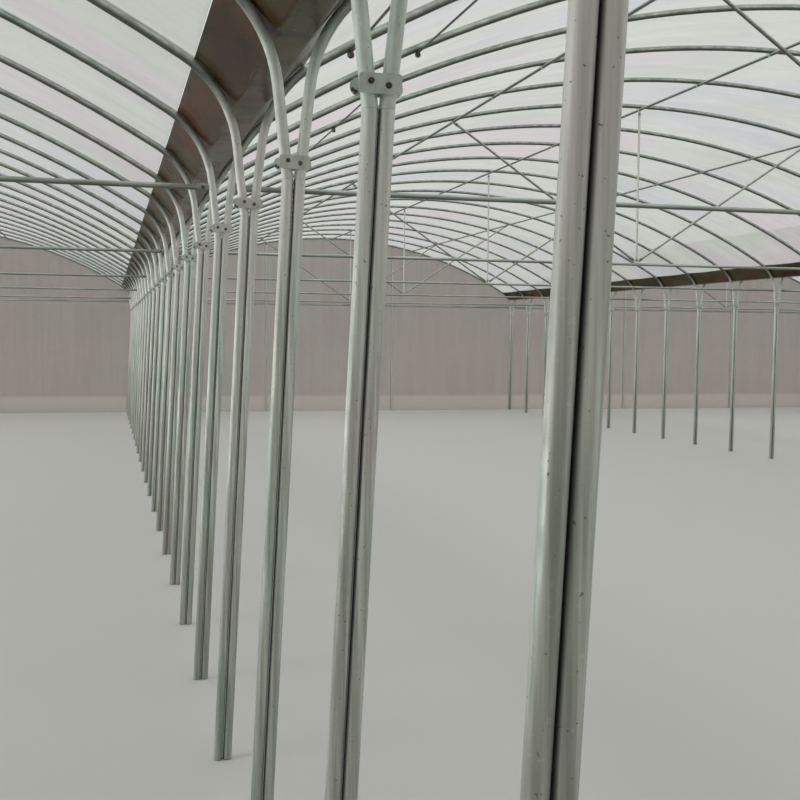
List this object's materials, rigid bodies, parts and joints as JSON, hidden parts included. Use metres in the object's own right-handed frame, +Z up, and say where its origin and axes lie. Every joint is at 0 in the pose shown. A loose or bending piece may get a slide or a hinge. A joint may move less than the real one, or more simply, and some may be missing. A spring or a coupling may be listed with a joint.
{
  "type": "multi-span greenhouse",
  "caption": "Round-arched tube-framed greenhouse in several gutter-connected spans, covered in translucent film, with tied arches, purlins and an open front doorway.",
  "frame": {"origin": "on the ground, at the middle of the plan", "axes": "+Z up, Y along the spans with the open doorway at the low end, +X across the spans to the right as seen from the doorway"},
  "size_m": [24.0036, 24.0416, 3.5933],
  "materials": {
    "tube": "galvanised round steel tube, dull grey-green with pale zinc spots",
    "clamp": "galvanised pressed steel plate",
    "gutter": "folded galvanised sheet, weathered brown and shiny underneath",
    "channel": "pale film-lock channel",
    "roof_film": "white translucent film under tension",
    "wall_film": "grey-pink translucent film, slightly slack"
  },
  "bodies": {
    "root": {"left_span_left_legs": "tube", "left_span_right_legs": "tube", "left_span_arches": "tube", "left_span_ties": "tube", "left_span_king_posts": "tube", "left_span_struts": "tube", "left_span_purlins": "tube", "left_span_film_channels": "channel", "left_span_roof_film": "roof_film", "left_front_gable_film": "wall_film", "left_rear_gable_film": "wall_film", "middle_span_left_legs": "tube", "middle_span_right_legs": "tube", "middle_span_arches": "tube", "middle_span_ties": "tube", "middle_span_king_posts": "tube", "middle_span_struts": "tube", "middle_span_purlins": "tube", "middle_span_film_channels": "channel", "middle_span_roof_film": "roof_film", "middle_front_gable_film": "wall_film", "middle_rear_gable_film": "wall_film", "right_span_left_legs": "tube", "right_span_right_legs": "tube", "right_span_arches": "tube", "right_span_ties": "tube", "right_span_king_posts": "tube", "right_span_struts": "tube", "right_span_purlins": "tube", "right_span_film_channels": "channel", "right_span_roof_film": "roof_film", "right_front_gable_film": "wall_film", "right_rear_gable_film": "wall_film", "left_valley_clamps": "clamp", "left_valley_gutter": "gutter", "right_valley_clamps": "clamp", "right_valley_gutter": "gutter", "left_side_film": "wall_film", "right_side_film": "wall_film", "front_gable_posts": "tube", "front_gable_rails": "tube", "rear_gable_posts": "tube", "rear_gable_rails": "tube"}
  },
  "joints": []
}
